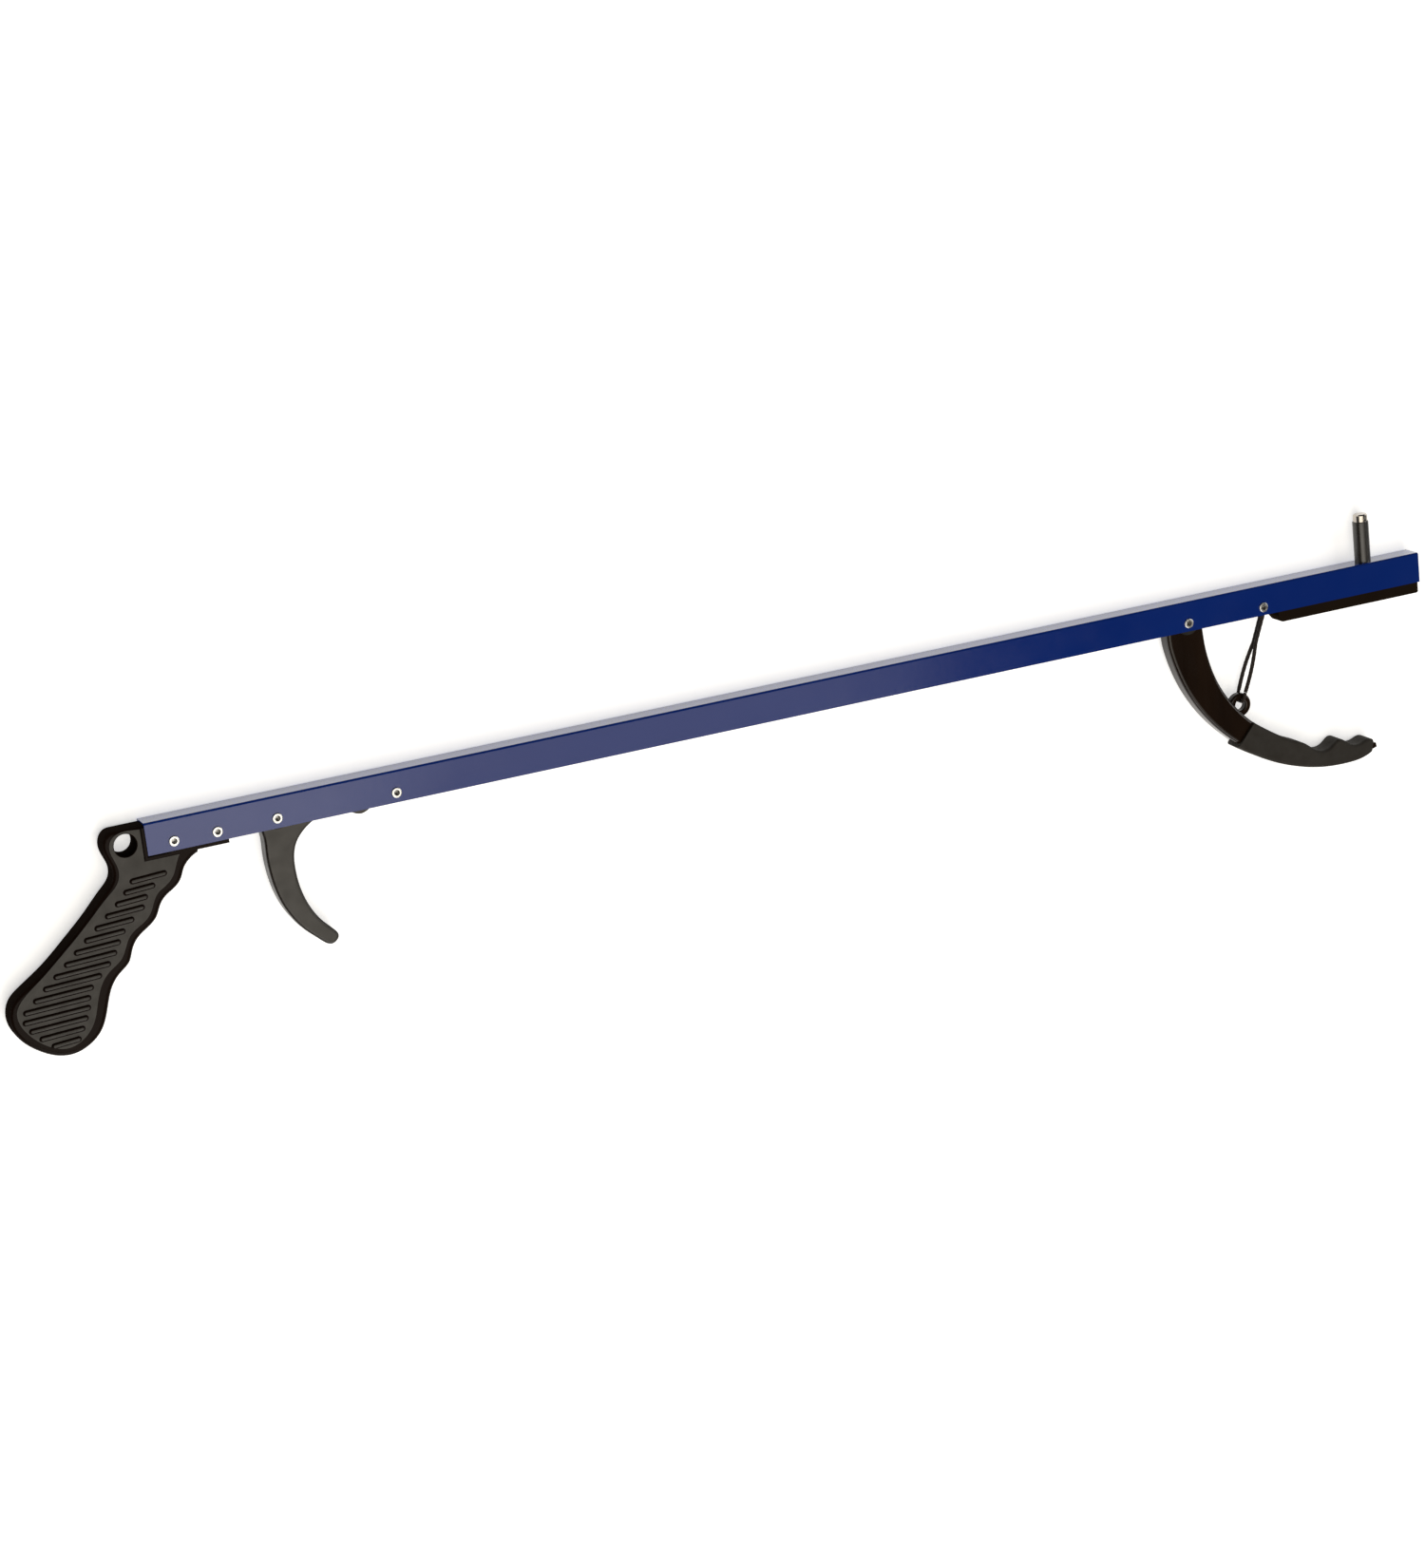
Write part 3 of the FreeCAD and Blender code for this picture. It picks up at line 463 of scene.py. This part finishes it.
def ring_faces(base, rings, sides):
    """The faces between rings of vertices that start at base, closed at both ends."""
    faces = []
    for i in range(rings - 1):
        for j in range(sides):
            a = base + i * sides + j
            b = base + i * sides + (j + 1) % sides
            faces.append((a, b, b + sides, a + sides))
    last = base + (rings - 1) * sides
    faces.append(tuple(base + j for j in reversed(range(sides))))
    faces.append(tuple(last + j for j in range(sides)))
    return faces


def braided(name, paths, body, cloth, radius, step=FINE_STEP, sides=FINE_SIDES):
    """Closed braided tubes along the paths, as one piece on a body."""
    vertices = []
    faces = []
    for path in paths:
        strand = braid_rings(path, radius, step, sides)
        faces += ring_faces(len(vertices), len(strand) // sides, sides)
        vertices += strand
    mesh = bpy.data.meshes.new(name)
    mesh.from_pydata(vertices, [], faces)
    for face in mesh.polygons:
        face.use_smooth = True
    mesh.materials.append(cloth)
    piece = bpy.data.objects.new(name, mesh)
    bpy.context.scene.collection.objects.link(piece)
    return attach(piece, body)


# ---------------------------------------------------------------- the cord's path

def at_height(point, z):
    """The point moved to height z over the middle plane."""
    return Vector((point.x, point.y, MIDDLE_Z + z))


def polar(centre, radius, degrees, z):
    angle = math.radians(degrees)
    return at_height(centre, z) + Vector((radius * math.cos(angle), radius * math.sin(angle), 0))


def arc(centre, radius, start, end, z, count=BEND_STEPS):
    return [polar(centre, radius, start + (end - start) * i / count, z) for i in range(count + 1)]


def tangent_normal(left, left_radius, right, right_radius):
    """The angle of the normal of the line that touches the tops of two circles."""
    across = right - left
    lean = math.asin((right_radius - left_radius) / math.hypot(across.x, across.y))
    return 90.0 + math.degrees(math.atan2(across.y, across.x) + lean)


def leave_angle(front):
    """The angle on the front roller where the strands leave for the jaw's eye."""
    across = JAW_EYE - front
    turn = math.acos(CORD_BEND / math.hypot(across.x, across.y))
    return math.degrees(math.atan2(across.y, across.x) + turn)


def run_path(z):
    """From the rear roller over the jaw's hub to the front roller."""
    rear = PIVOTS["rear_roller_spin"]
    hub = PIVOTS["jaw_close"]
    front = PIVOTS["front_roller_spin"]
    rear_normal = tangent_normal(rear, CORD_BEND, hub, HUB_BEND)
    front_normal = tangent_normal(hub, HUB_BEND, front, CORD_BEND)
    path = arc(rear, CORD_BEND, rear_normal + REAR_WRAP, rear_normal, z, REAR_WRAP_STEPS)
    path += arc(hub, HUB_BEND, rear_normal, front_normal, z)
    path += arc(front, CORD_BEND, front_normal, SHUT_ANGLE, z)
    return path


def hanging(top, sign):
    """A strand that lies against the other one at first and then bows away to its side of the jaw's eye."""
    pull = Vector((top.x - JAW_EYE.x, top.y - JAW_EYE.y, 0)).normalized()
    beside = Vector((pull.y, -pull.x, 0))
    end = at_height(JAW_EYE, 0.0) + pull * LOOP_REACH
    points = []
    for i in range(1, DROP_STEPS + 1):
        share = i / DROP_STEPS
        apart = max(0.0, (share - SPLIT_SHARE) / (1.0 - SPLIT_SHARE))
        depth = sign * (STRAND_OFFSET + (EYE_OFFSET - STRAND_OFFSET) * apart)
        bow = sign * STRAND_BOW * math.sin(math.pi * apart)
        points.append(at_height(top.lerp(end, share), depth) + beside * bow)
    return points


def drop_path(sign):
    """From the front roller down to the jaw's eye."""
    front = PIVOTS["front_roller_spin"]
    leave = leave_angle(front)
    z = sign * STRAND_OFFSET
    wrap = arc(front, CORD_BEND, SHUT_ANGLE - JOIN_OVERLAP, leave, z)
    return wrap + hanging(polar(front, CORD_BEND, leave, z), sign)


def tail_path(sign):
    """From the trigger's eye to the rear roller."""
    low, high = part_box("cord_tail")
    start = Vector((low.x, PIVOTS["cord_tail_swing"].y, MIDDLE_Z + sign * EYE_OFFSET))
    return [start, Vector((high.x, high.y - CORD_RADIUS, MIDDLE_Z + sign * STRAND_OFFSET))]


def make_cord(cloth):
    """The two strands in three stretches. The front one shortens as the jaw closes."""
    sides = (-1, 1)
    runs = [run_path(sign * STRAND_OFFSET) for sign in sides]
    run = braided("pull_cord_run", runs, "frame", cloth, CORD_RADIUS, HIDDEN_STEP, HIDDEN_SIDES)
    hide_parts("cord_run")
    tail = braided("pull_cord_tail", [tail_path(sign) for sign in sides], "tail", cloth, TAIL_RADIUS)
    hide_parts("cord_tail")
    drop = braided("pull_cord_strands", [drop_path(sign) for sign in sides], "front_cord", cloth, DROP_RADIUS)
    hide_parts("cord_front_strands")
    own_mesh(drop)


# ---------------------------------------------------------------- stage, lights, camera

def floor_paper():
    made = new_material("pale_paper", PAPER, 0.75, specular=0.1)
    cloud_colour(made, noise(made, 1.5, 2.0), PAPER_TONES)
    shader_input(made, "Emission Color").default_value = (1.0, 1.0, 1.0, 1.0)
    shader_input(made, "Emission Strength").default_value = FLOOR_GLOW
    return made


def make_floor():
    """A pale sheet on a light table, whose own glow keeps the shadows faint."""
    marks = [FLOOR_SIZE * (i / FLOOR_CELLS - 0.5) for i in range(FLOOR_CELLS + 1)]
    vertices = [(x, y, 0.0) for y in marks for x in marks]
    row = FLOOR_CELLS + 1
    corners = [j * row + i for j in range(FLOOR_CELLS) for i in range(FLOOR_CELLS)]
    faces = [(a, a + 1, a + row + 1, a + row) for a in corners]
    mesh = bpy.data.meshes.new("floor")
    mesh.from_pydata(vertices, [], faces)
    mesh.materials.append(floor_paper())
    floor = bpy.data.objects.new("floor", mesh)
    bpy.context.scene.collection.objects.link(floor)


def softbox(name, place, target, width, height, radiance, colour):
    """A rectangular area light whose face has the given radiance."""
    light = bpy.data.lights.new(name, "AREA")
    light.shape = "RECTANGLE"
    light.size = width
    light.size_y = height
    light.energy = radiance * math.pi * width * height
    light.color = colour
    lamp = bpy.data.objects.new(name, light)
    lamp.location = place
    lamp.rotation_euler = (Vector(target) - Vector(place)).to_track_quat("-Z", "Y").to_euler()
    bpy.context.scene.collection.objects.link(lamp)


def make_lights():
    for box in SOFTBOXES:
        softbox(*box)
    world = bpy.data.worlds.new("studio")
    world.use_nodes = True
    background = world.node_tree.nodes["Background"]
    background.inputs["Color"].default_value = (1.0, 1.0, 1.0, 1.0)
    background.inputs["Strength"].default_value = WORLD_STRENGTH
    bpy.context.scene.world = world


def make_camera():
    """The viewpoint: above the tool's rear end, looking forward and down."""
    ahead = Vector(CAMERA_AHEAD).normalized()
    right = Vector(CAMERA_RIGHT).normalized()
    up = right.cross(ahead).normalized()
    right = ahead.cross(up).normalized()
    turn = Matrix((right, up, -ahead)).transposed().to_4x4()
    lens = bpy.data.cameras.new("camera")
    lens.sensor_width = SENSOR_WIDTH_MM
    lens.lens = FOCAL_LENGTH_MM
    lens.clip_end = CLIP_END
    camera = bpy.data.objects.new("camera", lens)
    camera.matrix_world = Matrix.Translation(CORNER + Vector(CAMERA_OFFSET)) @ turn
    bpy.context.scene.collection.objects.link(camera)
    bpy.context.scene.camera = camera


dress_tube()
dress_grip()
dress_trigger()
dress_jaw()
dress_tip()
dress_nylon()
dress_rivets()
dress_spring()
braid = cord_cloth()
dress(["cord_trigger_loop", "cord_knot", "cord_jaw_loop"], braid)
make_cord(braid)
make_floor()
make_lights()
make_camera()
bpy.context.scene.view_settings.view_transform = "Standard"
